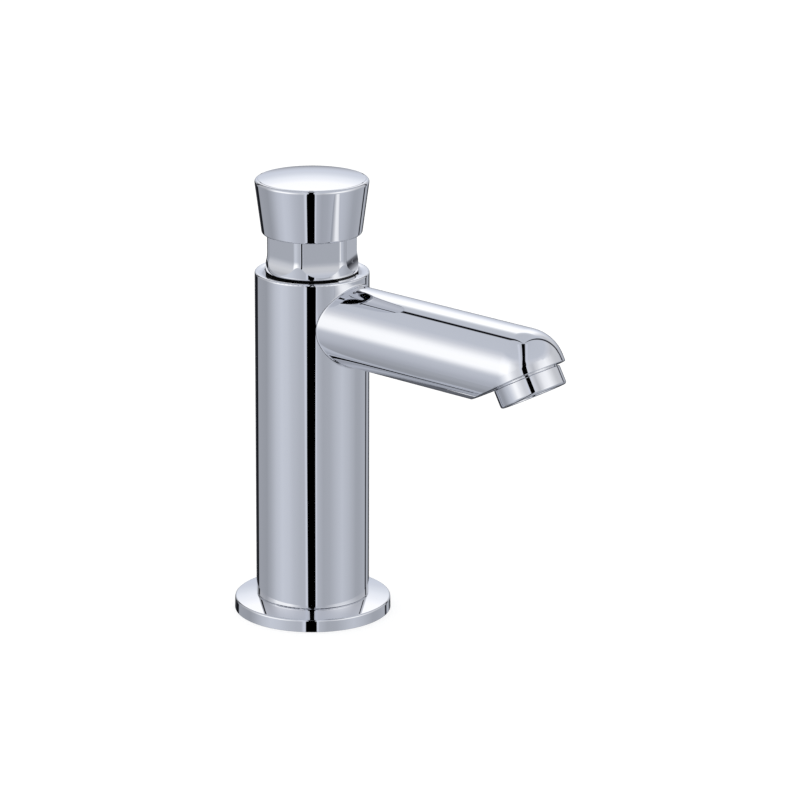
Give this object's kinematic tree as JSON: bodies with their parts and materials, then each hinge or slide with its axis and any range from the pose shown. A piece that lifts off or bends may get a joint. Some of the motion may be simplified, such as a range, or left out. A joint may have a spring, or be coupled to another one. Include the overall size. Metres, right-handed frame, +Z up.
{
  "type": "basin faucet",
  "caption": "Deck-mounted self-closing basin tap: push cap over a hexagonal nut, round column, straight round spout with a tilted aerator, base flange and threaded tail.",
  "frame": {"origin": "centre of the hole in the deck, on the deck face under the base flange", "axes": "+Z up along the column's axis, +X towards the spout's outlet"},
  "size_m": [0.142, 0.0582, 0.2212],
  "materials": {
    "chrome": "polished",
    "brass": "machined",
    "steel": "turned",
    "spring_steel": "drawn wire",
    "acetal": "moulded, satin",
    "rubber": "matt",
    "fibre": "vulcanised fibre"
  },
  "bodies": {
    "tap_body": {"hex_bonnet": "chrome", "faucet_body": "chrome", "base_flange": "chrome", "aerator_housing": "chrome", "inlet_shank": "brass", "mounting_backnut": "brass", "cartridge_sleeve": "brass", "guide_bush": "acetal", "stem_guide": "acetal", "aerator_insert": "acetal", "flow_regulator": "acetal", "timing_screw": "steel", "return_spring": "spring_steel", "spring_seat_washer": "steel", "steel_mounting_washer": "steel", "inlet_filter_screen": "steel", "aerator_screen": "steel", "bonnet_gasket": "rubber", "flange_gasket": "rubber", "rubber_mounting_washer": "rubber", "shank_o_ring": "rubber", "stem_o_ring": "rubber", "lower_stem_o_ring": "rubber", "sleeve_o_ring": "rubber", "inlet_filter_washer": "fibre", "seat_washer": "fibre", "aerator_gasket": "rubber"},
    "button": {"push_cap": "chrome", "cap_insert": "acetal", "stem": "steel", "piston": "acetal", "piston_lip_seal": "rubber", "piston_clip": "spring_steel", "valve_washer": "rubber", "valve_disc": "brass", "valve_nut": "brass"}
  },
  "joints": [
    {"name": "button_press", "type": "slide", "parent": "tap_body", "child": "button", "axis": [0, 0, -1], "range_m": [0, 0.009], "stiffness_N_per_m": 1200, "springref_m": -0.008, "deforming": ["return_spring"]}
  ]
}
